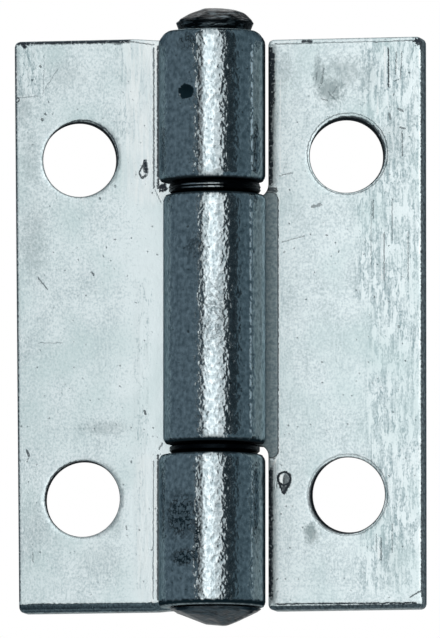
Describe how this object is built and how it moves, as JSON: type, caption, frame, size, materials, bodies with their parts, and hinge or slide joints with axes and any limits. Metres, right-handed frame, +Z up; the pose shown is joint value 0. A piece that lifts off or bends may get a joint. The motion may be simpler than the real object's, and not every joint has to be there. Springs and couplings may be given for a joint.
{
  "type": "narrow butt hinge",
  "caption": "Small narrow butt hinge in plated pressed steel: flat leaves with rolled knuckles and plain screw holes, turning on a riveted pin.",
  "frame": {"origin": "on the pin's axis, at half of the pin's overall length", "axes": "+Z up along the pin, +X towards the outer edge of the right leaf, -Y the front, the side that the knuckles stand out on"},
  "size_m": [0.0219, 0.0056, 0.0324],
  "materials": {
    "leaf_plating": "bright zinc plating over rolled sheet, with fine rolling streaks, small scratches and darker sheared edges",
    "pin_steel": "plated steel, darkened and faceted where its heads were hammered over"
  },
  "bodies": {
    "left": {"leaf_left": "leaf_plating", "pin": "pin_steel"},
    "right": {"leaf_right": "leaf_plating"}
  },
  "joints": [
    {"name": "hinge", "type": "hinge", "parent": "left", "child": "right", "pos_m": [0, 0, 0], "axis": [0, 0, 1], "range_deg": [-194, 75]}
  ]
}
